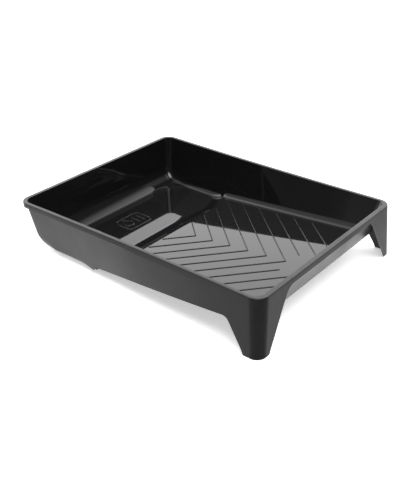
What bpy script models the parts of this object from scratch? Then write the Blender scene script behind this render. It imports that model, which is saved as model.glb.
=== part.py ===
"""Paint roller tray for a 9 inch roller: one moulding with a deep well, a ribbed ramp, a rim and two legs.

Frame: +X runs from the well end to the ramp end, +Y across the tray, +Z up. The origin is on the surface
that the tray stands on, under the middle of its bounding box. Lengths are in millimetres here and become
metres at the mesh. x is measured from the well end's rim edge until centred() moves it.
"""

import math

import bmesh
import bpy

MM = 0.001

# Rim
LENGTH = 362.0
WIDTH = 280.0
HEIGHT = 69.5
RIM_RADIUS = 15.0
SIDE_BOW = 2.5
RIM_EDGE_RADIUS = 0.9
LIP_DEPTH = 6.2
LIP_UNDERCUT = 0.9
LIP_FADE_START = 20.0
LIP_FADE_END = 200.0

# Inside of the basin: insets are measured from the rim's outer edge
WELL_FLOOR_DEPTH = 62.0
RISER_START = 106.5
RISER_RADIUS = 58.0
RISER_EDGE = 0.5
RISER_BEND = 10.0
RISER_BEND_START = 70.0
RISER_BEND_END = 116.0
RAMP_START = 132.0
RAMP_START_DEPTH = 55.8
RAMP_SLOPE = 0.090
SIDE_TOP_INSET = 5.0
SIDE_FOOT_INSET_WELL = 15.2
SIDE_FOOT_INSET_RAMP = 16.8
SIDE_FOOT_INSET_END = 23.5
WELL_END_TOP_INSET = 5.5
WELL_END_FOOT_INSET = 12.0
RAMP_END_TOP_INSET = 6.5
RAMP_END_FOOT_INSET = 14.0
RAMP_END_THICKENING = 6.6
SIDE_FILLET = 7.0
WELL_END_FILLET = 21.0
RAMP_END_FILLET = 5.0
BASIN_TOP_RADIUS = 10.0
BASIN_CORNER_RADIUS = 9.0
BASIN_FLOOR_RADIUS = 6.0

# Outside: the side sheet leans in at the well and out at the legs
WALL = 1.8
OUTER_TOP_INSET = 4.2
OUTER_FOOT_INSET = 14.4
LEG_SPLAY = 4.5
SHEET_TURN_START = 60.0
SHEET_TURN_END = 330.0
WELL_END_OUTER_FOOT_INSET = 9.8
WELL_BOTTOM_HEIGHT = 5.3
WELL_BOTTOM_END = 110.5
WELL_BOTTOM_STEP = 2.5
OUTER_CORNER_RADIUS = 13.0
OUTER_BOTTOM_RADIUS = 11.0
BOTTOM_EDGE = 6.0
BOTTOM_EDGE_RUN = 20.0
SHEET_EDGE = 0.8

# Skirt, legs and arch
SKIRT_OFFSET = 0.1
SKIRT_NOTCH = 0.5
SKIRT_START = 119.0
SKIRT_START_RADIUS = 3.0
SKIRT_START_DEPTH = 57.5
SKIRT_MIDDLE = 225.0
SKIRT_MIDDLE_DEPTH = 43.2
SKIRT_MIDDLE_RADIUS = 60.0
SKIRT_END = 321.0
SKIRT_END_DEPTH = 32.6
SKIRT_END_RADIUS = 5.0
LEG_FOOT_START = 343.0
LEG_EDGE_FOOT_DEPTH = 64.0
ARCH_TOP_INSET = 51.0
ARCH_FOOT_INSET = 16.0
ARCH_RADIUS = 9.0
ARCH_DEPTH = 0.6
ARCH_LEAN = 0.369
FOOT_RADIUS = 4.0
FOOT_TIP = 2.5
POCKET_RISE = 78.0
POCKET_START = 0.2
POCKET_START_RADIUS = 1.0
POCKET_ROWS = 4

# Cutters reach past the surfaces that they cut
CUT_OVERLAP = 1.0
CUT_BELOW = 3.0
CUT_ABOVE = 3.0
CUT_OUTSIDE = 20.0
CUT_SKIN = 0.01

# Chevron ribs on the ramp
RIB_COUNT = 9
RIB_FIRST_APEX = 166.6
RIB_PITCH = 26.94
RIB_RUN = 1.041
RIB_WIDTH = 1.5
RIB_HEIGHT = 0.9
RIB_SINK = 0.5
RIB_RAMP_START = 136.0
RIB_RAMP_END = 341.0
RIB_SIDE_LIMIT = 111.0
RIB_TAPER_START = 159.0
RIB_SIDE_TAPER = 0.065
OPEN_RIB = 6
OPEN_RIB_GAP = 20.6

# Rest bars under the well
BAR_WIDTH = 4.0
BAR_SINK = 0.6
BARS = ((106.0, 238.0), (44.0, 200.0))

# Fineness of the mesh; the stations are the places along the sides that have a row of vertices
ARC_STEPS = 6
FILLET_STEPS = 4
FLOOR_SPANS = 12
CORNER_ROOM = 1.5
STATION_STEP = 15.0
STATION_COUNT = 13
STATIONS = (45.0, 70.0, 90.0, 97.0, 101.0, 105.0, 108.0, 110.5)
STATIONS += (113.0, 116.0, 119.0, 121.5, 123.5, 125.5, 128.5)
STATIONS += tuple(RAMP_START + STATION_STEP * i for i in range(STATION_COUNT))
FOLLOW_START = 50.0
FOLLOW_FULL = 90.0
FOLLOW_LEAVE = 140.0
FOLLOW_END = 200.0

BLACK = (0.02, 0.02, 0.022, 1.0)
ROUGHNESS = 0.3


def lerp(a, b, t):
    """Return the value a fraction t of the way from a to b, with t held between 0 and 1."""
    return a + (b - a) * min(max(t, 0.0), 1.0)


def smooth(a, b, t):
    """Return a value between a and b that leaves a and reaches b without a kink."""
    t = min(max(t, 0.0), 1.0)
    return a + (b - a) * t * t * (3 - 2 * t)


def side_bow(x):
    """Return how far the long sides pull in at x."""
    t = 2 * x / LENGTH - 1
    return SIDE_BOW * max(1 - t * t, 0.0)


def riser_bend(y):
    """Return how far the riser comes forward at y, beside the long sides."""
    return smooth(0.0, RISER_BEND, (abs(y) - RISER_BEND_START) / (RISER_BEND_END - RISER_BEND_START))


def floor_height(x, y):
    """Return the height of the basin's floor: flat well, riser with a curved foot and a crisp edge, ramp."""
    well = HEIGHT - WELL_FLOOR_DEPTH
    ramp = HEIGHT - RAMP_START_DEPTH + RAMP_SLOPE * (max(x, RISER_START - RISER_BEND) - RAMP_START)
    climb = max(x + riser_bend(y) - RISER_START, 0.0)
    riser = well + climb * climb / (2 * RISER_RADIUS)
    t = min(max((riser - ramp + RISER_EDGE) / (2 * RISER_EDGE), 0.0), 1.0)
    return riser + (ramp - riser) * t - RISER_EDGE * t * (1 - t)


def along_riser(x, y):
    """Return x moved so that the rows of the floor's mesh follow the riser's bend."""
    ease = smooth(0.0, 1.0, (x - FOLLOW_START) / (FOLLOW_FULL - FOLLOW_START))
    ease *= smooth(1.0, 0.0, (x - FOLLOW_LEAVE) / (FOLLOW_END - FOLLOW_LEAVE))
    return x + (RISER_BEND - riser_bend(y)) * ease


def foot_inset(x):
    """Return the inset of the corner between a long side and the floor."""
    if x <= RAMP_START:
        t = (x - RISER_START) / (RAMP_START - RISER_START)
        return smooth(SIDE_FOOT_INSET_WELL, SIDE_FOOT_INSET_RAMP, t)
    t = (x - RAMP_START) / (LENGTH - RAMP_END_FOOT_INSET - RAMP_START)
    return lerp(SIDE_FOOT_INSET_RAMP, SIDE_FOOT_INSET_END, t)


def leg_inset(z):
    """Return the inset of the legs' straight outer faces, which lean out from the rim's edge to the feet."""
    return -LEG_SPLAY * (HEIGHT - z) / HEIGHT


def lip_inset(x, inset, z):
    """Return the inset at x of a lip ring that starts with the given inset and fades into the legs."""
    return smooth(inset, leg_inset(z), (x - LIP_FADE_START) / (LIP_FADE_END - LIP_FADE_START))


def outer_foot_inset(x):
    """Return the inset of the side sheet where it would meet the table."""
    return smooth(OUTER_FOOT_INSET, -LEG_SPLAY, (x - SHEET_TURN_START) / (SHEET_TURN_END - SHEET_TURN_START))


def sheet_inset(x, z):
    """Return the inset of the side sheet's outer face at height z."""
    upper = HEIGHT - LIP_DEPTH - LIP_UNDERCUT
    top = lip_inset(x, OUTER_TOP_INSET, upper)
    return top + (outer_foot_inset(x) - top) * (upper - z) / upper


def ring(start_inset, end_inset, side_inset, radius, height, start_radius=None):
    """Return one closed loop of points around the tray, counter-clockwise seen from above.

    side_inset and height are functions of x. Rings that start near the same x have equally many points.
    """
    x0 = start_inset
    x1 = LENGTH - end_inset
    r0 = radius if start_radius is None else start_radius
    quarter = [math.radians(90 * i / ARC_STEPS) for i in range(ARC_STEPS + 1)]

    def half(x):
        return WIDTH / 2 - side_bow(x) - side_inset(x)

    near = [(x0 + r0 - r0 * math.cos(a), r0 - r0 * math.sin(a) - half(x0 + r0)) for a in quarter]
    near += [(x, -half(x)) for x in STATIONS if x > x0 + CORNER_ROOM]
    turn = x1 - radius
    near += [(turn + radius * math.sin(a), radius - radius * math.cos(a) - half(turn)) for a in quarter]
    far = [(x, -y) for x, y in reversed(near)]
    return [(x, y, height(x)) for x, y in near + far]


def conic(start, corner, end, steps):
    """Return the points of a fillet that leaves start and reaches end along the two sides of the corner."""
    weight = math.sqrt(0.5)
    points = []
    for i in range(steps + 1):
        t = i / steps
        parts = ((1 - t) ** 2, 2 * weight * t * (1 - t), t * t)
        total = sum(parts)
        points.append(tuple((parts[0] * a + parts[1] * b + parts[2] * c) / total
                            for a, b, c in zip(start, corner, end)))
    return points


def towards(a, b, distance):
    """Return the point that is the given distance from a on the way to b."""
    t = distance / math.dist(a, b)
    return tuple(p + (q - p) * t for p, q in zip(a, b))


def fillet_rings(top, corner, foot):
    """Return the rings that round the corner between the wall above it and the floor inside it."""
    profiles = []
    for t, c, f in zip(top, corner, foot):
        fillet = conic(towards(c, t, math.dist(c, f)), c, f, FILLET_STEPS)
        middle = tuple((a + b) / 2 for a, b in zip(t, fillet[0]))
        profiles.append([middle] + fillet)
    return [[profile[i] for profile in profiles] for i in range(FILLET_STEPS + 2)]


def new_object(name, bm, material=None):
    """Make an object from a bmesh whose coordinates are in millimetres."""
    bmesh.ops.scale(bm, vec=(MM, MM, MM), verts=bm.verts)
    bmesh.ops.recalc_face_normals(bm, faces=bm.faces)
    mesh = bpy.data.meshes.new(name)
    bm.to_mesh(mesh)
    bm.free()
    obj = bpy.data.objects.new(name, mesh)
    bpy.context.scene.collection.objects.link(obj)
    if material:
        mesh.materials.append(material)
    return obj


def centred(point):
    """Move a point from the well end's rim edge to the middle of the tray."""
    x, y, z = point
    return (x - (LENGTH + LEG_SPLAY) / 2, y, z)


def cap(bm, loop, points, surface=None):
    """Close a ring by faces across the tray, in a mesh that follows a surface if one is given."""
    rows = []
    last = len(loop) // 2 - 1
    for i in range(last + 1):
        x, y = points[i][:2]
        row = [loop[i]]
        if surface and 0 < i < last:
            across = [y * (1 - 2 * step / FLOOR_SPANS) for step in range(1, FLOOR_SPANS)]
            row += [bm.verts.new(centred(surface(x, place))) for place in across]
        rows.append(row + [loop[-1 - i]])
    for a, b in zip(rows, rows[1:]):
        if len(a) == len(b):
            for i in range(len(a) - 1):
                bm.faces.new((a[i], a[i + 1], b[i + 1], b[i]))
        else:
            bm.faces.new(a + b[::-1])


def loft_rings(name, rings, material=None, surface=None):
    """Make a closed solid from rings, whose last ring is closed by the surface if one is given."""
    bm = bmesh.new()
    loops = [[bm.verts.new(centred(p)) for p in points] for points in rings]
    count = len(loops[0])
    for upper, lower in zip(loops, loops[1:]):
        for i in range(count):
            j = (i + 1) % count
            bm.faces.new((upper[i], upper[j], lower[j], lower[i]))
    cap(bm, loops[0], rings[0])
    cap(bm, loops[-1], rings[-1], surface)
    return new_object(name, bm, material)


def prism(name, outline, direction):
    """Make a closed solid by sweeping a closed outline along a vector."""
    bm = bmesh.new()
    base = bm.faces.new([bm.verts.new(centred(p)) for p in outline])
    result = bmesh.ops.extrude_face_region(bm, geom=[base])
    moved = [v for v in result["geom"] if isinstance(v, bmesh.types.BMVert)]
    bmesh.ops.translate(bm, vec=direction, verts=moved)
    return new_object(name, bm)


def rounded(points, radii):
    """Return a closed 2-D outline with the given radius at each corner, as short straight steps."""
    outline = []
    count = len(points)
    for i, (corner, radius) in enumerate(zip(points, radii)):
        before = points[i - 1]
        after = points[(i + 1) % count]
        if radius == 0:
            outline.append(corner)
            continue
        cut_in = towards(corner, before, radius)
        cut_out = towards(corner, after, radius)
        outline.extend(conic(cut_in, corner, cut_out, FILLET_STEPS))
    return outline


def hide_tool(tool):
    """Keep a cutter or an added shape out of the finished object."""
    tool.hide_render = True
    tool.display_type = "WIRE"


def boolean(obj, tool, operation):
    """Add an exact Boolean modifier that uses the tool."""
    modifier = obj.modifiers.new(f"{operation.lower()} {tool.name}", "BOOLEAN")
    modifier.operation = operation
    modifier.object = tool
    modifier.solver = "EXACT"
    hide_tool(tool)


def outer_envelope(material):
    """Make the outside of the moulding: rim, lip, side sheets and end walls, the well's bottom and the feet."""

    def bottom(x):
        return smooth(WELL_BOTTOM_HEIGHT, 0.0, (x - WELL_BOTTOM_END) / WELL_BOTTOM_STEP)

    def lip(inset, z):
        return ring(inset, leg_inset(z), lambda x: lip_inset(x, inset, z), RIM_RADIUS, lambda x: z,
                    RIM_RADIUS - inset)

    edge = RIM_EDGE_RADIUS
    soft = edge * (1 - math.sqrt(0.5))
    top = [ring(inset, inset, lambda x, i=inset: i, RIM_RADIUS - inset, lambda x, d=drop: HEIGHT - d)
           for inset, drop in ((edge, 0.0), (soft, soft), (0.0, edge))]
    under_lip = lip(OUTER_TOP_INSET, HEIGHT - LIP_DEPTH - LIP_UNDERCUT)
    corner = ring(WELL_END_OUTER_FOOT_INSET, -LEG_SPLAY, lambda x: sheet_inset(x, bottom(x)),
                  OUTER_CORNER_RADIUS, bottom)

    def bottom_inset(x):
        t = (x - WELL_BOTTOM_END + BOTTOM_EDGE_RUN) / (BOTTOM_EDGE_RUN + WELL_BOTTOM_STEP)
        return sheet_inset(x, bottom(x)) + smooth(BOTTOM_EDGE, SHEET_EDGE, t)

    foot = ring(WELL_END_OUTER_FOOT_INSET + WELL_END_FILLET, SHEET_EDGE - LEG_SPLAY, bottom_inset,
                OUTER_BOTTOM_RADIUS, bottom)
    rings = top + [lip(0.0, HEIGHT - LIP_DEPTH), under_lip]
    return loft_rings("tray", rings + fillet_rings(under_lip, corner, foot), material)


def basin(name, grow, end_grow=0.0):
    """Make the basin's inside as a solid, grown by the wall, and by end_grow more at the ramp end's top."""

    def grown(start, end, side, radius, height):
        return ring(start - grow, end - grow, lambda x: side(x) - grow, radius + grow, height)

    def rim(z):
        return grown(WELL_END_TOP_INSET, RAMP_END_TOP_INSET - end_grow, lambda x: SIDE_TOP_INSET,
                     BASIN_TOP_RADIUS, lambda x: z)

    def floor(x):
        return floor_height(x, WIDTH / 2) - grow

    def surface(x, y):
        x = along_riser(x, y)
        return (x, y, floor_height(x, y) - grow)

    corner = grown(WELL_END_FOOT_INSET, RAMP_END_FOOT_INSET, foot_inset, BASIN_CORNER_RADIUS, floor)
    foot = grown(WELL_END_FOOT_INSET + WELL_END_FILLET, RAMP_END_FOOT_INSET + RAMP_END_FILLET,
                 lambda x: foot_inset(x) + SIDE_FILLET, BASIN_FLOOR_RADIUS, floor)
    rings = [rim(HEIGHT + CUT_ABOVE), rim(HEIGHT)] + fillet_rings(rim(HEIGHT), corner, foot)
    return loft_rings(name, rings, surface=surface)


def pocket_top(x):
    """Return the height of the hollow between the side sheet and the ramp's side wall."""
    return lerp(floor_height(x, WIDTH / 2) - WALL, HEIGHT - LIP_DEPTH, (x - RAMP_START) / POCKET_RISE)


def under_space():
    """Make the hollow inside the side sheets behind the well, which is open at the bottom."""

    def level(share):
        def height(x):
            return (pocket_top(x) + CUT_BELOW) * share - CUT_BELOW

        end = sheet_inset(LENGTH, height(LENGTH)) + WALL
        return ring(WELL_BOTTOM_END + POCKET_START, end, lambda x: sheet_inset(x, height(x)) + WALL,
                    RIM_RADIUS - WALL, height, POCKET_START_RADIUS)

    return loft_rings("under_space", [level(1 - row / POCKET_ROWS) for row in range(POCKET_ROWS + 1)])


def side_cutters():
    """Make the cutters that leave the skirts' lower edges and the legs' sloping edges on both long sides."""
    outside = WIDTH / 2 + CUT_OUTSIDE
    start = WELL_BOTTOM_END + SKIRT_OFFSET
    foot = LEG_FOOT_START + FOOT_TIP
    edge = rounded(
        [(start, -CUT_BELOW), (start, WELL_BOTTOM_HEIGHT - SKIRT_NOTCH),
         (SKIRT_START, HEIGHT - SKIRT_START_DEPTH), (SKIRT_MIDDLE, HEIGHT - SKIRT_MIDDLE_DEPTH),
         (SKIRT_END, HEIGHT - SKIRT_END_DEPTH),
         (LEG_FOOT_START, HEIGHT - LEG_EDGE_FOOT_DEPTH), (foot, -CUT_SKIN), (foot, -CUT_BELOW)],
        [0, 0, SKIRT_START_RADIUS, SKIRT_MIDDLE_RADIUS, SKIRT_END_RADIUS, FOOT_RADIUS, 0, 0])
    bm = bmesh.new()
    for side in (-1, 1):
        loops = []
        for x, z in edge:
            inset = max(sheet_inset(x, z), sheet_inset(x, 0.0)) + WALL + CUT_OVERLAP
            inner = WIDTH / 2 - side_bow(x) - inset
            loops.append([bm.verts.new(centred((x, side * y, z))) for y in (inner, outside)])
        for (a_in, a_out), (b_in, b_out) in zip(loops, loops[1:] + loops[:1]):
            bm.faces.new((a_in, a_out, b_out, b_in))
        bm.faces.new([inner for inner, outer in loops])
        bm.faces.new([outer for inner, outer in loops])
    bmesh.ops.triangulate(bm, faces=bm.faces, quad_method="BEAUTY", ngon_method="BEAUTY")
    return new_object("side_cutters", bm)


def arch_cutter():
    """Make the cutter that leaves the band and the legs' inner edges at the ramp end."""
    y_top = WIDTH / 2 - ARCH_TOP_INSET
    y_foot = WIDTH / 2 - ARCH_FOOT_INSET
    z_top = HEIGHT - LIP_DEPTH
    z_foot = HEIGHT - LEG_EDGE_FOOT_DEPTH
    y_tip = y_foot + FOOT_TIP
    outline = rounded(
        [(-y_tip, -CUT_BELOW), (-y_tip, -CUT_SKIN), (-y_foot, z_foot), (-y_top, z_top), (y_top, z_top),
         (y_foot, z_foot), (y_tip, -CUT_SKIN), (y_tip, -CUT_BELOW)],
        [0, 0, FOOT_RADIUS, ARCH_RADIUS, ARCH_RADIUS, FOOT_RADIUS, 0, 0])
    face = [(LENGTH - ARCH_DEPTH - ARCH_LEAN * (z_top - z), y, z) for y, z in outline]
    return prism("arch_cutter", face, (LENGTH, 0, 0))


def rib_points(apex, side_start, side_end, side):
    """Return the four plan corners of one straight arm of a chevron, on one side of the centre line."""
    half_width = RIB_WIDTH / 2 * math.hypot(1, RIB_RUN)
    corners = []
    for y, shift in ((side_start, half_width), (side_end, half_width), (side_end, -half_width),
                     (side_start, -half_width)):
        corners.append((apex - RIB_RUN * y + shift, side * y))
    return corners


def chevron_ribs():
    """Make the raised ribs as flat bars that stand on the ramp, two arms to each chevron."""
    bm = bmesh.new()
    for index in range(RIB_COUNT):
        apex = RIB_FIRST_APEX + RIB_PITCH * index
        inner = max((apex - RIB_RAMP_END) / RIB_RUN, OPEN_RIB_GAP if index == OPEN_RIB else 0.0)
        limit = RIB_SIDE_LIMIT - RIB_SIDE_TAPER * (apex - RIB_RUN * RIB_SIDE_LIMIT - RIB_TAPER_START)
        outer = min((apex - RIB_RAMP_START) / RIB_RUN, limit)
        arms = [rib_points(apex, inner, outer, side) for side in (-1, 1)]
        if inner == 0.0:
            near, far = arms
            outlines = [[near[1], near[0], far[1], far[2], near[3], near[2]]]
        else:
            outlines = arms
        for outline in outlines:
            low = [bm.verts.new(centred((x, y, floor_height(x, y) - RIB_SINK))) for x, y in outline]
            high = [bm.verts.new(centred((x, y, floor_height(x, y) + RIB_HEIGHT))) for x, y in outline]
            bm.faces.new(low)
            bm.faces.new(high)
            for i in range(len(outline)):
                j = (i + 1) % len(outline)
                bm.faces.new((low[i], low[j], high[j], high[i]))
    return new_object("chevron_ribs", bm)


def rest_bars():
    """Make the two low bars that the well stands on."""
    bm = bmesh.new()
    for x, length in BARS:
        half = BAR_WIDTH / 2
        top = WELL_BOTTOM_HEIGHT + BAR_SINK
        section = [(x - half, top), (x - half, 0.0), (x + half, 0.0), (x + half, top)]
        ends = [[bm.verts.new(centred((px, y, pz))) for px, pz in section]
                for y in (-length / 2, length / 2)]
        bm.faces.new(ends[0])
        bm.faces.new(ends[1])
        for i in range(len(section)):
            j = (i + 1) % len(section)
            bm.faces.new((ends[0][i], ends[0][j], ends[1][j], ends[1][i]))
    return new_object("rest_bars", bm)


def black_plastic():
    """Return the tray's material: black polypropylene."""
    material = bpy.data.materials.new("black_polypropylene")
    material.use_nodes = True
    shader = material.node_tree.nodes["Principled BSDF"]
    shader.inputs["Base Color"].default_value = BLACK
    shader.inputs["Roughness"].default_value = ROUGHNESS
    shader.inputs["Metallic"].default_value = 0.0
    return material


def main():
    """Build the tray as one solid."""
    for obj in list(bpy.data.objects):
        bpy.data.objects.remove(obj, do_unlink=True)
    tray = outer_envelope(black_plastic())
    boolean(tray, side_cutters(), "DIFFERENCE")
    hollow = under_space()
    boolean(hollow, basin("basin_shell", WALL, RAMP_END_THICKENING), "DIFFERENCE")
    boolean(tray, hollow, "DIFFERENCE")
    boolean(tray, arch_cutter(), "DIFFERENCE")
    space = basin("basin_space", 0.0)
    boolean(space, chevron_ribs(), "DIFFERENCE")
    boolean(tray, space, "DIFFERENCE")
    boolean(tray, rest_bars(), "UNION")


main()
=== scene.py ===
"""Looks of the paint roller tray: a finely rounded moulding in glossy and satin black plastic."""

import math

import bmesh
import bpy
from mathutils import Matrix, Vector


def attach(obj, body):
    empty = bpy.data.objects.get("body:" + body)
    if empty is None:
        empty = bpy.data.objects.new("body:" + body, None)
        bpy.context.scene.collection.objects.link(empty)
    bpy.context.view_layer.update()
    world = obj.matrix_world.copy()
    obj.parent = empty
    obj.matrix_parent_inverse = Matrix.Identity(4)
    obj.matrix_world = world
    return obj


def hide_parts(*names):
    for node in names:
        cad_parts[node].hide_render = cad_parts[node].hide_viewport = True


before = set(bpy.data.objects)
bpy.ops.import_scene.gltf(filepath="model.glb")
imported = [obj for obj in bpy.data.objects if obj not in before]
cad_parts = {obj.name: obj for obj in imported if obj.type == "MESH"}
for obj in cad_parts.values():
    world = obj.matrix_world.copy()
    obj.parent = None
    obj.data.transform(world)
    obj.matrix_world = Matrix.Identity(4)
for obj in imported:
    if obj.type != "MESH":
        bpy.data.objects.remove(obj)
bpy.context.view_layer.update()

MM = 0.001

# Sizes of the moulding in millimetres. x runs from the well end's rim edge, insets from the rim's outer edge.
LENGTH = 362.0
WIDTH = 280.0
HEIGHT = 69.5
LEG_SPLAY = 4.5
RIM_RADIUS = 15.0
SIDE_BOW = 2.5
LIP_DEPTH = 6.2
LIP_UNDERCUT = 0.9
LIP_EDGES = ((0.0, 0.5), (0.15, 0.15), (0.5, 0.0))
LIP_TURN = (0.5, 0.3)
RIM_OUTER_ROUND = 0.9
RIM_INNER_ROUND = 0.7

WELL_FLOOR_DEPTH = 62.0
RAMP_START = 132.0
RAMP_START_DEPTH = 55.8
RAMP_SLOPE = 0.090
RISER_START = 106.5
RISER_RADIUS = 58.0
RISER_EDGE = 0.5
RISER_BEND = 10.0
RISER_BEND_START = 70.0
RISER_BEND_END = 116.0
SIDE_TOP_INSET = 5.0
SIDE_FOOT_INSET_WELL = 15.2
SIDE_FOOT_INSET_RAMP = 16.8
SIDE_FOOT_INSET_END = 23.5
WELL_END_TOP_INSET = 5.5
WELL_END_FOOT_INSET = 12.0
RAMP_END_TOP_INSET = 6.5
RAMP_END_FOOT_INSET = 14.0
RAMP_END_THICKENING = 6.6
SIDE_FILLET = 7.0
WELL_END_FILLET = 21.0
RAMP_END_FILLET = 5.0
BASIN_TOP_RADIUS = 10.0
BASIN_CORNER_RADIUS = 9.0
BASIN_FLOOR_RADIUS = 6.0

WALL = 1.8
OUTER_TOP_INSET = 4.2
LIP_FADE_START = 20.0
LIP_FADE_END = 200.0
OUTER_FOOT_INSET = 14.4
WELL_END_OUTER_FOOT_INSET = 9.8
WELL_BOTTOM_HEIGHT = 5.3
WELL_BOTTOM_END = 110.5
WELL_BOTTOM_STEP = 2.5
OUTER_CORNER_RADIUS = 13.0
OUTER_BOTTOM_RADIUS = 11.0
BOTTOM_EDGE = 6.0
BOTTOM_EDGE_RUN = 20.0
BOTTOM_EDGE_LENGTH = 22.0
SHEET_EDGE = 0.8
SHEET_TURN_START = 60.0
SHEET_TURN_END = 330.0

SKIRT_OFFSET = 0.1
SKIRT_NOTCH = 0.5
SKIRT_START = 119.0
SKIRT_START_DEPTH = 57.5
SKIRT_START_RADIUS = 3.0
SKIRT_MIDDLE = 225.0
SKIRT_MIDDLE_DEPTH = 43.2
SKIRT_MIDDLE_RADIUS = 60.0
SKIRT_END = 321.0
SKIRT_END_DEPTH = 32.6
SKIRT_END_RADIUS = 5.0
LEG_FOOT_START = 343.0
LEG_EDGE_FOOT_DEPTH = 64.0
ARCH_TOP_INSET = 51.0
ARCH_FOOT_INSET = 16.0
ARCH_RADIUS = 9.0
ARCH_DEPTH = 0.6
ARCH_LEAN = 0.369
FOOT_RADIUS = 4.0
FOOT_TIP = 2.5
ARCH_FOOT_TIP = 3.0
POCKET_RISE = 78.0
POCKET_START = 0.2
POCKET_START_RADIUS = 1.0

# Cutters reach past the surfaces that they cut
CUT_OVERLAP = 1.0
CUT_ABOVE = 3.0
HOLLOW_BELOW = 3.0
ARCH_BELOW = 4.0
SIDE_BELOW = 6.0
SIDE_OUTSIDE = 20.0
ARCH_CUTTER_LENGTH = 40.0
TIP_BELOW = 0.01

RIB_COUNT = 9
RIB_FIRST_APEX = 166.6
RIB_PITCH = 26.94
RIB_RUN = 1.041
RIB_WIDTH = 1.5
RIB_HEIGHT = 0.9
BEAD_SINK = 0.3
RIB_RAMP_START = 136.0
RIB_RAMP_END = 341.0
RIB_SIDE_LIMIT = 111.0
RIB_TAPER_START = 159.0
RIB_SIDE_TAPER = 0.065
RIB_TIP_ANGLES = (12, 35, 60, 90)
OPEN_RIB = 6
OPEN_RIB_GAP = 20.6

MARK_PLACE = (65.0, -6.5)
MARK_SIZE = (30.0, 42.0)
MARK_CORNER = 6.0
MARK_LINE = 1.7
MARK_HEIGHT = 0.8
MARK_BAR_PLACES = (0.22, 0.62)
MARK_BAR_REACH = 0.55
DROP_PLACE = 0.42
DROP_RADIUS = 0.46
DROP_TIP = 1.75

BAR_WIDTH = 4.0
BAR_SINK = 0.6
BAR_DRAFT = 0.4
BAR_EDGE_RADIUS = 1.2
BAR_END_SLOPE = 1.5
BAR_END_RISE = 0.25
BARS = ((106.0, 238.0), (44.0, 200.0))

# Fineness of the mesh. Stations are the places along the sides that have a row of vertices, and a run of them
# has a start, a step and a count. Between the follow places the floor's rows take up the riser's bend.
ARC_STEPS = 14
FILLET_STEPS = 10
WALL_ROWS = 4
EDGE_STEPS = 4
SMALL_STEPS = 4
MARK_STEPS = 6
POCKET_ROWS = 6
BEAD_ANGLES = range(0, 181, 30)
DROP_ANGLES = range(40, 321, 20)
CORNER_ROOM = 1.5
STATION_RUNS = ((45.0, 14.0, 4), (95.0, 0.75, 44), (RAMP_START, 6.0, 31))
STATIONS = [start + step * i for start, step, count in STATION_RUNS for i in range(count)]
FLOOR_SPANS = 32
FOLLOW_START = 50.0
FOLLOW_RISE = 40.0
FOLLOW_LEAVE = 140.0
FOLLOW_FALL = 60.0
TRAY_SHARP_DEGREES = 32.0
BEAD_SHARP_DEGREES = 50.0
NORMAL_WEIGHT = 80

# Plastic: lowest and highest roughness, base colour, strength of the relief, specular level. A noise has a
# scale and a detail, and a scuff's noise also has a stretch and a turn. A range says where an effect starts
# and where it is full.
POLISHED = ((0.02, 0.05), (0.006, 0.006, 0.0065), 0.01, 0.5)
RUBBED = ((0.24, 0.32), (0.010, 0.010, 0.0105), 0.1, 0.5)
SATIN = ((0.34, 0.44), (0.010, 0.010, 0.0105), 0.35, 0.42)
CLOUD_NOISE = (18.0, 3.0)
CLOUD_RANGE = (0.35, 0.68)
GRAIN_NOISE = (420.0, 2.0)
GRAIN_RANGE = (0.35, 0.65)
SCUFFS = (
    ((60.0, 4.0, (1.0, 14.0, 6.0), 0.5), (0.66, 0.74)),
    ((70.0, 4.0, (16.0, 1.0, 6.0), -0.3), (0.68, 0.76)),
)
# Rounded edges: where the bevelled normal turns away from the face's normal, the base colour is painted paler
# as a painted highlight and the roughness rises
EDGE_SHEEN_RANGE = (0.995, 0.85)
EDGE_SHEEN_SAMPLES = 4
EDGE_SHEEN_RADIUS = 0.6
EDGE_ROUGHNESS = 0.12
EDGE_HIGHLIGHT_PALER = 1.8
SCUFF_ROUGHNESS = 0.10
MOTTLE = 1.35
RELIEF = 0.1

# Camera: its place in metres, its direction in degrees, its lens and sensor in millimetres
CAMERA_PLACE = (0.5240, -0.6589, 0.4854)
CAMERA_AZIMUTH = 38.281
CAMERA_ELEVATION = 29.866
CAMERA_LENS = 55.35
CAMERA_SENSOR = 36.0
CAMERA_REACH = 50.0

# Light: a bright backdrop beyond the tray, a softer light at the side, a small bright window, the table's
# light from below, a dark room, and a panel overhead. A range holds the cosines of the angles to its
# direction where a light starts and where it is full. Sizes are in metres, the panel's power in watts.
UP = (0.0, 0.0, 1.0)
DOWN = (0.0, 0.0, -1.0)
HORIZON_RANGE = (-0.05, 0.05)
ZENITH_RANGE = (-1.0, -0.6)
BACKDROP_DIRECTION = (-0.62, 0.785, 0.0)
BACKDROP_RANGE = (0.15, 0.5)
BACKDROP_LIGHT = 2.5
SIDE_DIRECTION = (-0.55, -0.35, 0.75)
SIDE_RANGE = (0.70, 0.95)
SIDE_LIGHT = 0.65
SPOT_DIRECTION = (0.42, -0.28, 0.84)
SPOT_RANGE = (0.90, 0.98)
SPOT_LIGHT = 7.0
TABLE_DIRECTION = (-0.67, 0.50, -0.54)
TABLE_RANGE = (-0.3, 0.8)
TABLE_LIGHT = 1.6
ROOM_LIGHT = 0.10
PANEL_HEIGHT = 2.4
PANEL_SIZE = 3.2
PANEL_POWER = 55.0
FLOOR_SIZE = 6.0
FLOOR_DROP = 0.0003
FLOOR_COLOR = (0.9, 0.9, 0.9, 1.0)
FLOOR_ROUGHNESS = 0.9
FLOOR_GLOW = 0.5
WHITE = (1.0, 1.0, 1.0, 1.0)


def lerp(a, b, t):
    """Return the value a fraction t of the way from a to b, with t held between 0 and 1."""
    return a + (b - a) * min(max(t, 0.0), 1.0)


def smooth(a, b, t):
    """Return a value between a and b that leaves a and reaches b without a kink."""
    t = min(max(t, 0.0), 1.0)
    return a + (b - a) * t * t * (3 - 2 * t)


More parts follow.
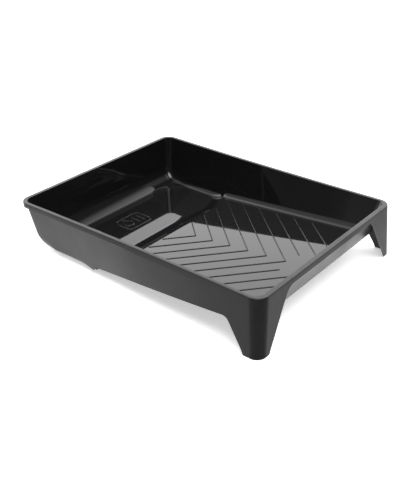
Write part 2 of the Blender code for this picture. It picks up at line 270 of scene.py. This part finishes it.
def side_bow(x):
    """Return how far the long sides pull in at x."""
    t = 2 * x / LENGTH - 1
    return SIDE_BOW * max(1 - t * t, 0.0)


def riser_bend(y):
    """Return how far the riser comes forward at y, beside the long sides."""
    return smooth(0.0, RISER_BEND, (abs(y) - RISER_BEND_START) / (RISER_BEND_END - RISER_BEND_START))


def floor_height(x, y):
    """Return the height of the basin's floor: flat well, riser with a curved foot and a crisp edge, ramp."""
    well = HEIGHT - WELL_FLOOR_DEPTH
    ramp = HEIGHT - RAMP_START_DEPTH + RAMP_SLOPE * (max(x, RISER_START - RISER_BEND) - RAMP_START)
    climb = max(x + riser_bend(y) - RISER_START, 0.0)
    riser = well + climb * climb / (2 * RISER_RADIUS)
    t = min(max(0.5 + 0.5 * (riser - ramp) / RISER_EDGE, 0.0), 1.0)
    return riser + (ramp - riser) * t - RISER_EDGE * t * (1 - t)


def along_riser(x, y):
    """Return x moved so that the rows of the floor's mesh follow the riser's bend."""
    begin = smooth(0.0, 1.0, (x - FOLLOW_START) / FOLLOW_RISE)
    leave = smooth(1.0, 0.0, (x - FOLLOW_LEAVE) / FOLLOW_FALL)
    return x + (RISER_BEND - riser_bend(y)) * (begin * leave)


def foot_inset(x):
    """Return the inset of the corner between a long side and the floor."""
    if x <= RAMP_START:
        t = (x - RISER_START) / (RAMP_START - RISER_START)
        return smooth(SIDE_FOOT_INSET_WELL, SIDE_FOOT_INSET_RAMP, t)
    t = (x - RAMP_START) / (LENGTH - RAMP_END_FOOT_INSET - RAMP_START)
    return lerp(SIDE_FOOT_INSET_RAMP, SIDE_FOOT_INSET_END, t)


def leg_inset(z):
    """Return the inset of the legs' straight outer faces, which lean out from the rim's edge to the feet."""
    return -LEG_SPLAY * (HEIGHT - z) / HEIGHT


def lip_inset(x, inset, z):
    """Return the inset at x of a lip ring that starts with the given inset and fades into the legs."""
    return smooth(inset, leg_inset(z), (x - LIP_FADE_START) / (LIP_FADE_END - LIP_FADE_START))


def outer_foot_inset(x):
    """Return the inset of the side sheet where it would meet the table."""
    return smooth(OUTER_FOOT_INSET, -LEG_SPLAY, (x - SHEET_TURN_START) / (SHEET_TURN_END - SHEET_TURN_START))


def sheet_inset(x, z):
    """Return the inset of the side sheet's outer face at height z."""
    upper = HEIGHT - LIP_DEPTH - LIP_UNDERCUT
    top = lip_inset(x, OUTER_TOP_INSET, upper)
    return top + (outer_foot_inset(x) - top) * (upper - z) / upper


def pocket_top(x):
    """Return the height of the hollow between the side sheet and the ramp's side wall."""
    return lerp(floor_height(x, WIDTH / 2) - WALL, HEIGHT - LIP_DEPTH, (x - RAMP_START) / POCKET_RISE)


def ring(start_inset, end_inset, side_inset, radius, height, start_radius=None):
    """Return one closed loop of points around the tray, counter-clockwise seen from above.

    side_inset and height are functions of x. Rings that start near the same x have equally many points.
    """
    x0 = start_inset
    x1 = LENGTH - end_inset
    r0 = radius if start_radius is None else start_radius
    quarter = [math.radians(90 * i / ARC_STEPS) for i in range(ARC_STEPS + 1)]

    def half(x):
        return WIDTH / 2 - side_bow(x) - side_inset(x)

    near = [(x0 + r0 - r0 * math.cos(a), r0 - r0 * math.sin(a) - half(x0 + r0)) for a in quarter]
    near += [(x, -half(x)) for x in STATIONS if x > x0 + CORNER_ROOM]
    turn = x1 - radius
    near += [(turn + radius * math.sin(a), radius - radius * math.cos(a) - half(turn)) for a in quarter]
    far = [(x, -y) for x, y in reversed(near)]
    return [(x, y, height(x)) for x, y in near + far]


def conic(start, corner, end, steps):
    """Return the points of a fillet that leaves start and reaches end along the two sides of the corner."""
    weight = math.sqrt(0.5)
    points = []
    for i in range(steps + 1):
        t = i / steps
        parts = ((1 - t) ** 2, 2 * weight * t * (1 - t), t * t)
        total = sum(parts)
        points.append(tuple((parts[0] * a + parts[1] * b + parts[2] * c) / total
                            for a, b, c in zip(start, corner, end)))
    return points


def towards(a, b, distance):
    """Return the point that is the given distance from a on the way to b."""
    t = distance / math.dist(a, b)
    return tuple(p + (q - p) * t for p, q in zip(a, b))


def wall_and_fillet(top, corner, foot):
    """Return the rings that run down a wall from just under its top and round its corner with the floor."""
    profiles = []
    for t, c, f in zip(top, corner, foot):
        fillet = conic(towards(c, t, math.dist(c, f)), c, f, FILLET_STEPS)
        length = math.dist(t, fillet[0])
        wall = [towards(t, fillet[0], length * row / WALL_ROWS) for row in range(1, WALL_ROWS)]
        profiles.append(wall + fillet)
    return [[profile[i] for profile in profiles] for i in range(WALL_ROWS + FILLET_STEPS)]


def edge_steps(radius):
    """Return how far back and how far below the top each step of a rounded edge is."""
    angles = [math.radians(90 * i / EDGE_STEPS) for i in range(EDGE_STEPS + 1)]
    return [(radius * (1 - math.sin(a)), radius * (1 - math.cos(a))) for a in angles]


def centred(point):
    """Move a point from the well end's rim edge to the middle of the tray."""
    x, y, z = point
    return (x - (LENGTH + LEG_SPLAY) / 2, y, z)


def new_object(name, bm, material=None):
    """Make an object from a bmesh whose coordinates are in millimetres."""
    bmesh.ops.scale(bm, vec=(MM, MM, MM), verts=bm.verts)
    bmesh.ops.recalc_face_normals(bm, faces=bm.faces)
    mesh = bpy.data.meshes.new(name)
    bm.to_mesh(mesh)
    bm.free()
    obj = bpy.data.objects.new(name, mesh)
    bpy.context.scene.collection.objects.link(obj)
    if material:
        mesh.materials.append(material)
    return obj


def cap(bm, loop, points, surface=None):
    """Close a ring by faces across the tray, in a fine mesh that follows a surface if one is given."""
    rows = []
    last = len(loop) // 2 - 1
    for i in range(last + 1):
        x, y, z = points[i]
        row = [loop[i]]
        if surface and 0 < i < last:
            across = [y * (1 - 2 * step / FLOOR_SPANS) for step in range(1, FLOOR_SPANS)]
            row += [bm.verts.new(centred(surface(x, place))) for place in across]
        rows.append(row + [loop[-1 - i]])
    for a, b in zip(rows, rows[1:]):
        if len(a) == len(b):
            for i in range(len(a) - 1):
                bm.faces.new((a[i], a[i + 1], b[i + 1], b[i]))
        else:
            bm.faces.new(a + b[::-1])


def loft_rings(name, rings, material=None, surface=None):
    """Make a closed solid from rings, whose last ring is closed by the surface if one is given."""
    bm = bmesh.new()
    loops = [[bm.verts.new(centred(p)) for p in points] for points in rings]
    count = len(loops[0])
    for upper, lower in zip(loops, loops[1:]):
        for i in range(count):
            j = (i + 1) % count
            bm.faces.new((upper[i], upper[j], lower[j], lower[i]))
    cap(bm, loops[0], rings[0])
    cap(bm, loops[-1], rings[-1], surface)
    return new_object(name, bm, material)


def rounded(points, radii, steps=FILLET_STEPS):
    """Return a closed 2-D outline with the given radius at each corner, as short straight steps."""
    outline = []
    count = len(points)
    for i, (corner, radius) in enumerate(zip(points, radii)):
        if radius == 0:
            outline.append(corner)
            continue
        cut_in = towards(corner, points[i - 1], radius)
        cut_out = towards(corner, points[(i + 1) % count], radius)
        outline.extend(conic(cut_in, corner, cut_out, steps))
    return outline


def boolean(obj, tool, operation):
    """Apply a Boolean to the object and remove the tool."""
    modifier = obj.modifiers.new("shape", "BOOLEAN")
    modifier.operation = operation
    modifier.object = tool
    modifier.solver = "MANIFOLD"
    modifier.material_mode = "TRANSFER"
    bpy.context.view_layer.update()
    shaped = bpy.data.meshes.new_from_object(obj.evaluated_get(bpy.context.evaluated_depsgraph_get()))
    obj.modifiers.remove(modifier)
    obj.data = shaped
    bpy.data.objects.remove(tool, do_unlink=True)


def outer_envelope(material):
    """Make the outside of the moulding: rim, lip, side sheets, end walls, the well's bottom and the feet."""

    def bottom(x):
        return smooth(WELL_BOTTOM_HEIGHT, 0.0, (x - WELL_BOTTOM_END) / WELL_BOTTOM_STEP)

    def lip(inset, z):
        return ring(inset, leg_inset(z), lambda x: lip_inset(x, inset, z), RIM_RADIUS, lambda x: z,
                    RIM_RADIUS - inset)

    def bottom_inset(x):
        t = (x - WELL_BOTTOM_END + BOTTOM_EDGE_RUN) / BOTTOM_EDGE_LENGTH
        return sheet_inset(x, bottom(x)) + smooth(BOTTOM_EDGE, SHEET_EDGE, t)

    top = [ring(back, back, lambda x, b=back: b, RIM_RADIUS - back, lambda x, d=drop: HEIGHT - d)
           for back, drop in edge_steps(RIM_OUTER_ROUND)]
    lip_end = HEIGHT - LIP_DEPTH
    under = [lip(0.0, HEIGHT - LIP_DEPTH / 2)] + [lip(inset, lip_end + up) for inset, up in LIP_EDGES]
    under.append(lip(OUTER_TOP_INSET - LIP_TURN[0], lip_end - LIP_UNDERCUT + LIP_TURN[1]))
    under_lip = lip(OUTER_TOP_INSET, lip_end - LIP_UNDERCUT)
    corner = ring(WELL_END_OUTER_FOOT_INSET, -LEG_SPLAY, lambda x: sheet_inset(x, bottom(x)),
                  OUTER_CORNER_RADIUS, bottom)
    foot = ring(WELL_END_OUTER_FOOT_INSET + WELL_END_FILLET, SHEET_EDGE - LEG_SPLAY, bottom_inset,
                OUTER_BOTTOM_RADIUS, bottom)
    rings = top + under + [under_lip] + wall_and_fillet(under_lip, corner, foot)
    return loft_rings("moulded_tray", rings, material)


def basin(name, grow, material, end_grow=0.0):
    """Make the basin's inside as a solid, grown by the wall, and by end_grow more at the ramp end's top."""

    def grown(start, end, side, radius, height):
        return ring(start - grow, end - grow, lambda x: side(x) - grow, radius + grow, height)

    def rim(widen, z):
        return grown(WELL_END_TOP_INSET - widen, RAMP_END_TOP_INSET - end_grow - widen,
                     lambda x: SIDE_TOP_INSET - widen, BASIN_TOP_RADIUS + widen, lambda x: z)

    def floor(x):
        return floor_height(x, WIDTH / 2) - grow

    def surface(x, y):
        x = along_riser(x, y)
        return (x, y, floor_height(x, y) - grow)

    rings = [rim(RIM_INNER_ROUND, HEIGHT + CUT_ABOVE)]
    rings += [rim(back, HEIGHT - drop) for back, drop in edge_steps(RIM_INNER_ROUND)]
    corner = grown(WELL_END_FOOT_INSET, RAMP_END_FOOT_INSET, foot_inset, BASIN_CORNER_RADIUS, floor)
    foot = grown(WELL_END_FOOT_INSET + WELL_END_FILLET, RAMP_END_FOOT_INSET + RAMP_END_FILLET,
                 lambda x: foot_inset(x) + SIDE_FILLET, BASIN_FLOOR_RADIUS, floor)
    return loft_rings(name, rings + wall_and_fillet(rings[-1], corner, foot), material, surface)


def under_space(material):
    """Make the hollow inside the side sheets behind the well, which is open at the bottom."""

    def level(share):
        def height(x):
            return -HOLLOW_BELOW + (pocket_top(x) + HOLLOW_BELOW) * share

        end = sheet_inset(LENGTH, height(LENGTH)) + WALL
        return ring(WELL_BOTTOM_END + POCKET_START, end, lambda x: sheet_inset(x, height(x)) + WALL,
                    RIM_RADIUS - WALL, height, POCKET_START_RADIUS)

    levels = [level(1 - row / POCKET_ROWS) for row in range(POCKET_ROWS + 1)]
    return loft_rings("under_space", levels, material)


def side_cutters(material):
    """Make the cutters that leave the skirts' lower edges and the legs' sloping edges on both long sides."""
    outside = WIDTH / 2 + SIDE_OUTSIDE
    start = WELL_BOTTOM_END + SKIRT_OFFSET
    foot = LEG_FOOT_START + FOOT_TIP
    edge = rounded(
        [(start, -SIDE_BELOW), (start, WELL_BOTTOM_HEIGHT - SKIRT_NOTCH),
         (SKIRT_START, HEIGHT - SKIRT_START_DEPTH), (SKIRT_MIDDLE, HEIGHT - SKIRT_MIDDLE_DEPTH),
         (SKIRT_END, HEIGHT - SKIRT_END_DEPTH), (LEG_FOOT_START, HEIGHT - LEG_EDGE_FOOT_DEPTH),
         (foot, -TIP_BELOW), (foot, -SIDE_BELOW)],
        [0, 0, SKIRT_START_RADIUS, SKIRT_MIDDLE_RADIUS, SKIRT_END_RADIUS, FOOT_RADIUS, 0, 0])
    bm = bmesh.new()
    for side in (-1, 1):
        loops = []
        for x, z in edge:
            inset = max(sheet_inset(x, z), sheet_inset(x, 0.0)) + WALL + CUT_OVERLAP
            inner = WIDTH / 2 - side_bow(x) - inset
            loops.append([bm.verts.new(centred((x, side * y, z))) for y in (inner, outside)])
        for (a_in, a_out), (b_in, b_out) in zip(loops, loops[1:] + loops[:1]):
            bm.faces.new((a_in, a_out, b_out, b_in))
        bm.faces.new([inner for inner, outer in loops])
        bm.faces.new([outer for inner, outer in loops])
    bmesh.ops.triangulate(bm, faces=bm.faces, quad_method="BEAUTY", ngon_method="BEAUTY")
    return new_object("side_cutters", bm, material)


def arch_cutter(material):
    """Make the cutter that leaves the band and the legs' inner edges at the ramp end."""
    y_top = WIDTH / 2 - ARCH_TOP_INSET
    y_foot = WIDTH / 2 - ARCH_FOOT_INSET
    z_top = HEIGHT - LIP_DEPTH
    z_foot = HEIGHT - LEG_EDGE_FOOT_DEPTH
    y_tip = y_foot + ARCH_FOOT_TIP
    outline = rounded(
        [(-y_tip, -ARCH_BELOW), (-y_tip, -TIP_BELOW), (-y_foot, z_foot), (-y_top, z_top), (y_top, z_top),
         (y_foot, z_foot), (y_tip, -TIP_BELOW), (y_tip, -ARCH_BELOW)],
        [0, 0, FOOT_RADIUS, ARCH_RADIUS, ARCH_RADIUS, FOOT_RADIUS, 0, 0])
    bm = bmesh.new()
    base = bm.faces.new([bm.verts.new(centred((LENGTH - ARCH_DEPTH - ARCH_LEAN * (z_top - z), y, z)))
                         for y, z in outline])
    result = bmesh.ops.extrude_face_region(bm, geom=[base])
    moved = [v for v in result["geom"] if isinstance(v, bmesh.types.BMVert)]
    bmesh.ops.translate(bm, vec=(ARCH_CUTTER_LENGTH, 0, 0), verts=moved)
    return new_object("arch_cutter", bm, material)


def add_sections(bm, sections, closed=False):
    """Add a closed solid through cross-sections to a bmesh; closed joins the last section to the first."""
    loops = [[bm.verts.new(centred(p)) for p in points] for points in sections]
    count = len(loops[0])
    following = loops[1:] + loops[:1] if closed else loops[1:]
    for a, b in zip(loops, following):
        for i in range(count):
            j = (i + 1) % count
            bm.faces.new((a[i], a[j], b[j], b[i]))
    if not closed:
        bm.faces.new(loops[0])
        bm.faces.new(loops[-1])


def add_bead(bm, path, width, height, closed=False, sizes=None):
    """Add a domed bead along a plan path on the basin's floor; sizes, if given, scale its sections."""
    sections = []
    count = len(path)
    for i, place in enumerate(path):
        before = path[i - 1] if closed or i else place
        after = path[(i + 1) % count] if closed or i < count - 1 else place
        direction = (Vector(after) - Vector(before)).normalized()
        across = Vector((-direction.y, direction.x)) * width / 2
        size = sizes[i] if sizes else 1.0
        points = []
        for degrees in BEAD_ANGLES:
            angle = math.radians(degrees)
            x = place[0] + across.x * size * math.cos(angle)
            y = place[1] + across.y * size * math.cos(angle)
            points.append((x, y, floor_height(x, y) + height * size * math.sin(angle)))
        low = [(x, y, z - BEAD_SINK) for x, y, z in (points[-1], points[0])]
        sections.append(points + low)
    add_sections(bm, sections, closed)


def add_rib(bm, start, end, open_start):
    """Add one straight rib arm with a rounded end, and a rounded start too if open_start."""
    length = math.dist(start, end)
    angles = [math.radians(degrees) for degrees in RIB_TIP_ANGLES]
    tips = [(RIB_WIDTH / 2 * (1 - math.cos(a)), math.sin(a)) for a in angles]
    places = tips if open_start else [(0.0, 1.0)]
    places = places + [(length / 2, 1.0)] + [(length - along, size) for along, size in reversed(tips)]
    path = [(lerp(start[0], end[0], along / length), lerp(start[1], end[1], along / length))
            for along, size in places]
    add_bead(bm, path, RIB_WIDTH, RIB_HEIGHT, sizes=[size for along, size in places])


def chevron_ribs(material):
    """Make the domed ribs that stand on the ramp, two arms to each chevron."""
    bm = bmesh.new()
    for index in range(RIB_COUNT):
        apex = RIB_FIRST_APEX + RIB_PITCH * index
        inner = max((apex - RIB_RAMP_END) / RIB_RUN, OPEN_RIB_GAP if index == OPEN_RIB else 0.0)
        limit = RIB_SIDE_LIMIT - RIB_SIDE_TAPER * (apex - RIB_RUN * RIB_SIDE_LIMIT - RIB_TAPER_START)
        outer = min((apex - RIB_RAMP_START) / RIB_RUN, limit)
        for side in (-1, 1):
            start = (apex - RIB_RUN * inner, side * inner)
            end = (apex - RIB_RUN * outer, side * outer)
            add_rib(bm, start, end, inner > 0.0)
    return new_object("ramp_ribs", bm, material)


def floor_mark(material):
    """Make a generic raised mark on the well's floor: a paint drop and two bars in a rounded frame."""
    x, y = MARK_PLACE
    half_x, half_y = MARK_SIZE[0] / 2, MARK_SIZE[1] / 2
    corners = [(x - half_x, y - half_y), (x + half_x, y - half_y), (x + half_x, y + half_y),
               (x - half_x, y + half_y)]
    radius = half_x * DROP_RADIUS
    drop_y = y - half_y * DROP_PLACE
    drop = [(x - radius * math.cos(math.radians(a)), drop_y + radius * math.sin(math.radians(a)))
            for a in DROP_ANGLES]
    drop.append((x - radius * DROP_TIP, drop_y))
    bm = bmesh.new()
    add_bead(bm, rounded(corners, [MARK_CORNER] * 4, MARK_STEPS), MARK_LINE, MARK_HEIGHT, closed=True)
    add_bead(bm, drop, MARK_LINE, MARK_HEIGHT, closed=True)
    for share in MARK_BAR_PLACES:
        path = [(x + half_x * reach, y + half_y * share) for reach in (-MARK_BAR_REACH, 0.0, MARK_BAR_REACH)]
        add_bead(bm, path, MARK_LINE, MARK_HEIGHT)
    return new_object("floor_mark", bm, material)


def rest_bars(material):
    """Make the two low bars that the well stands on."""
    bm = bmesh.new()
    top = WELL_BOTTOM_HEIGHT + BAR_SINK
    for x, length in BARS:
        half = BAR_WIDTH / 2
        section = rounded(
            [(x - half - BAR_DRAFT, top), (x - half, 0.0), (x + half, 0.0), (x + half + BAR_DRAFT, top)],
            [0, BAR_EDGE_RADIUS, BAR_EDGE_RADIUS, 0], SMALL_STEPS)
        end = length / 2
        sections = []
        for y in (-end, BAR_END_SLOPE - end, end - BAR_END_SLOPE, end):
            rise = BAR_END_RISE if abs(y) == end else 0.0
            sections.append([(px, y, lerp(pz, top, rise)) for px, pz in section])
        add_sections(bm, sections)
    return new_object("rest_bars", bm, material)


def shade(obj, sharp_degrees):
    """Shade smooth, with hard edges only at a clear angle, and normals that favour large faces."""
    obj.data.shade_smooth()
    obj.data.set_sharp_from_angle(angle=math.radians(sharp_degrees))
    weighted = obj.modifiers.new("weighted_normals", "WEIGHTED_NORMAL")
    weighted.keep_sharp = True
    weighted.weight = NORMAL_WEIGHT


def plastic(name, roughness, base, texture, specular):
    """Return a black plastic with cloudy gloss, fine scuffs, rounded edges made rougher and painted paler as
    a highlight, and a little relief.
    """
    material = bpy.data.materials.new(name)
    material.use_nodes = True
    nodes = material.node_tree.nodes
    links = material.node_tree.links
    shader = nodes["Principled BSDF"]
    shader.inputs["Specular IOR Level"].default_value = specular
    place = nodes.new("ShaderNodeTexCoord")

    def noise(scale, detail, stretch=(1.0, 1.0, 1.0), turn=0.0):
        mapping = nodes.new("ShaderNodeMapping")
        mapping.inputs["Scale"].default_value = stretch
        mapping.inputs["Rotation"].default_value = (0.0, 0.0, turn)
        links.new(place.outputs["Object"], mapping.inputs["Vector"])
        node = nodes.new("ShaderNodeTexNoise")
        node.inputs["Scale"].default_value = scale
        node.inputs["Detail"].default_value = detail
        links.new(mapping.outputs["Vector"], node.inputs["Vector"])
        return node.outputs["Fac"]

    def remap(source, start, end, low, high):
        node = nodes.new("ShaderNodeMapRange")
        node.inputs["From Min"].default_value = start
        node.inputs["From Max"].default_value = end
        node.inputs["To Min"].default_value = low
        node.inputs["To Max"].default_value = high
        links.new(source, node.inputs["Value"])
        return node.outputs["Result"]

    def total(*sources):
        value = sources[0]
        for source in sources[1:]:
            node = nodes.new("ShaderNodeMath")
            node.operation = "ADD"
            links.new(value, node.inputs[0])
            links.new(source, node.inputs[1])
            value = node.outputs["Value"]
        return value

    def blend(factor, a, b):
        node = nodes.new("ShaderNodeMix")
        node.data_type = "RGBA"
        links.new(factor, node.inputs["Factor"])
        for socket, color in ((node.inputs["A"], a), (node.inputs["B"], b)):
            if isinstance(color, tuple):
                socket.default_value = (*color, 1.0)
            else:
                links.new(color, socket)
        return node.outputs["Result"]

    rounded_normal = nodes.new("ShaderNodeBevel")
    rounded_normal.samples = EDGE_SHEEN_SAMPLES
    rounded_normal.inputs["Radius"].default_value = EDGE_SHEEN_RADIUS * MM
    geometry = nodes.new("ShaderNodeNewGeometry")
    match = nodes.new("ShaderNodeVectorMath")
    match.operation = "DOT_PRODUCT"
    links.new(rounded_normal.outputs["Normal"], match.inputs[0])
    links.new(geometry.outputs["Normal"], match.inputs[1])
    # Mask of rounded edges, which carries a painted edge highlight and extra roughness
    edge_sheen_and_rough = remap(match.outputs["Value"], *EDGE_SHEEN_RANGE, 0.0, 1.0)

    fine = noise(*GRAIN_NOISE)
    scuffs = total(*[remap(noise(*pattern), *limits, 0.0, SCUFF_ROUGHNESS) for pattern, limits in SCUFFS])
    gloss = remap(noise(*CLOUD_NOISE), *CLOUD_RANGE, *roughness)
    links.new(total(gloss, scuffs, remap(edge_sheen_and_rough, 0.0, 1.0, 0.0, EDGE_ROUGHNESS)), shader.inputs["Roughness"])
    mottled = blend(remap(fine, *GRAIN_RANGE, 0.0, 1.0), base, tuple(MOTTLE * c for c in base))
    # Painted highlight: rounded edges get a paler base colour
    links.new(blend(edge_sheen_and_rough, mottled, tuple(EDGE_HIGHLIGHT_PALER * c for c in base)), shader.inputs["Base Color"])
    relief = nodes.new("ShaderNodeBump")
    relief.inputs["Strength"].default_value = texture
    relief.inputs["Distance"].default_value = RELIEF * MM
    links.new(fine, relief.inputs["Height"])
    links.new(relief.outputs["Normal"], shader.inputs["Normal"])
    return material


def stage():
    """Add the floor, the lights and the surroundings."""
    bm = bmesh.new()
    bmesh.ops.create_grid(bm, x_segments=1, y_segments=1, size=FLOOR_SIZE)
    mesh = bpy.data.meshes.new("floor")
    bm.to_mesh(mesh)
    bm.free()
    floor = bpy.data.objects.new("floor", mesh)
    floor.location.z = -FLOOR_DROP
    floor.visible_glossy = False
    bpy.context.scene.collection.objects.link(floor)
    pale = bpy.data.materials.new("pale_floor")
    pale.use_nodes = True
    finish = pale.node_tree.nodes["Principled BSDF"]
    finish.inputs["Base Color"].default_value = FLOOR_COLOR
    finish.inputs["Roughness"].default_value = FLOOR_ROUGHNESS
    finish.inputs["Emission Color"].default_value = WHITE
    finish.inputs["Emission Strength"].default_value = FLOOR_GLOW
    mesh.materials.append(pale)

    world = bpy.data.worlds.new("studio")
    world.use_nodes = True
    nodes = world.node_tree.nodes
    links = world.node_tree.links
    nodes["Background"].inputs["Color"].default_value = WHITE
    place = nodes.new("ShaderNodeTexCoord")

    def fade(direction, start, end):
        """Return a socket that rises from 0 to 1 as the view turns towards a direction."""
        dot = nodes.new("ShaderNodeVectorMath")
        dot.operation = "DOT_PRODUCT"
        dot.inputs[1].default_value = direction
        links.new(place.outputs["Generated"], dot.inputs[0])
        step = nodes.new("ShaderNodeMapRange")
        step.interpolation_type = "SMOOTHSTEP"
        step.inputs["From Min"].default_value = start
        step.inputs["From Max"].default_value = end
        links.new(dot.outputs["Value"], step.inputs["Value"])
        return step.outputs["Result"]

    def multiply_add(value, factor, addend):
        """Return a socket for value * factor + addend; the last two are numbers or sockets."""
        node = nodes.new("ShaderNodeMath")
        node.operation = "MULTIPLY_ADD"
        links.new(value, node.inputs[0])
        for socket, source in zip(node.inputs[1:], (factor, addend)):
            if isinstance(source, float):
                socket.default_value = source
            else:
                links.new(source, socket)
        return node.outputs["Value"]

    behind = fade(BACKDROP_DIRECTION, *BACKDROP_RANGE)
    sky = multiply_add(fade(DOWN, *ZENITH_RANGE), fade(UP, *HORIZON_RANGE), 0.0)
    upper = multiply_add(behind, sky, 0.0)
    lower = multiply_add(fade(TABLE_DIRECTION, *TABLE_RANGE), fade(DOWN, *HORIZON_RANGE), 0.0)
    light = multiply_add(fade(SIDE_DIRECTION, *SIDE_RANGE), SIDE_LIGHT, ROOM_LIGHT)
    light = multiply_add(lower, TABLE_LIGHT, light)
    light = multiply_add(upper, BACKDROP_LIGHT, light)
    light = multiply_add(fade(SPOT_DIRECTION, *SPOT_RANGE), SPOT_LIGHT, light)
    seen = nodes.new("ShaderNodeLightPath")
    strength = nodes.new("ShaderNodeMix")
    links.new(seen.outputs["Is Camera Ray"], strength.inputs["Factor"])
    links.new(light, strength.inputs["A"])
    strength.inputs["B"].default_value = 1.0
    links.new(strength.outputs["Result"], nodes["Background"].inputs["Strength"])
    bpy.context.scene.world = world

    data = bpy.data.lights.new("top_panel", "AREA")
    data.shape = "SQUARE"
    data.size = PANEL_SIZE
    data.energy = PANEL_POWER
    panel = bpy.data.objects.new("top_panel", data)
    panel.location.z = PANEL_HEIGHT
    panel.visible_glossy = False
    bpy.context.scene.collection.objects.link(panel)


def camera():
    """Add the camera."""
    data = bpy.data.cameras.new("camera")
    data.lens = CAMERA_LENS
    data.sensor_width = CAMERA_SENSOR
    data.clip_end = CAMERA_REACH
    obj = bpy.data.objects.new("camera", data)
    azimuth = math.radians(CAMERA_AZIMUTH)
    elevation = math.radians(CAMERA_ELEVATION)
    forward = Vector((-math.sin(azimuth) * math.cos(elevation), math.cos(azimuth) * math.cos(elevation),
                      -math.sin(elevation)))
    obj.location = CAMERA_PLACE
    obj.rotation_euler = forward.to_track_quat("-Z", "Y").to_euler()
    bpy.context.scene.collection.objects.link(obj)
    bpy.context.scene.camera = obj


def main():
    """Build the tray, and stage it."""
    polished = plastic("polished_black", *POLISHED)
    satin = plastic("satin_black", *SATIN)
    tray = outer_envelope(satin)
    boolean(tray, side_cutters(satin), "DIFFERENCE")
    hollow = under_space(satin)
    boolean(hollow, basin("basin_shell", WALL, satin, RAMP_END_THICKENING), "DIFFERENCE")
    boolean(tray, hollow, "DIFFERENCE")
    boolean(tray, arch_cutter(satin), "DIFFERENCE")
    boolean(tray, basin("basin_space", 0.0, polished), "DIFFERENCE")
    boolean(tray, rest_bars(satin), "UNION")
    shade(tray, TRAY_SHARP_DEGREES)
    ribs = chevron_ribs(plastic("rubbed_black", *RUBBED))
    mark = floor_mark(polished)
    for piece in (ribs, mark):
        shade(piece, BEAD_SHARP_DEGREES)
    for piece in (tray, ribs, mark):
        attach(piece, "root")
    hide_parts("tray")
    stage()
    camera()
    bpy.context.scene.view_settings.view_transform = "Standard"


main()
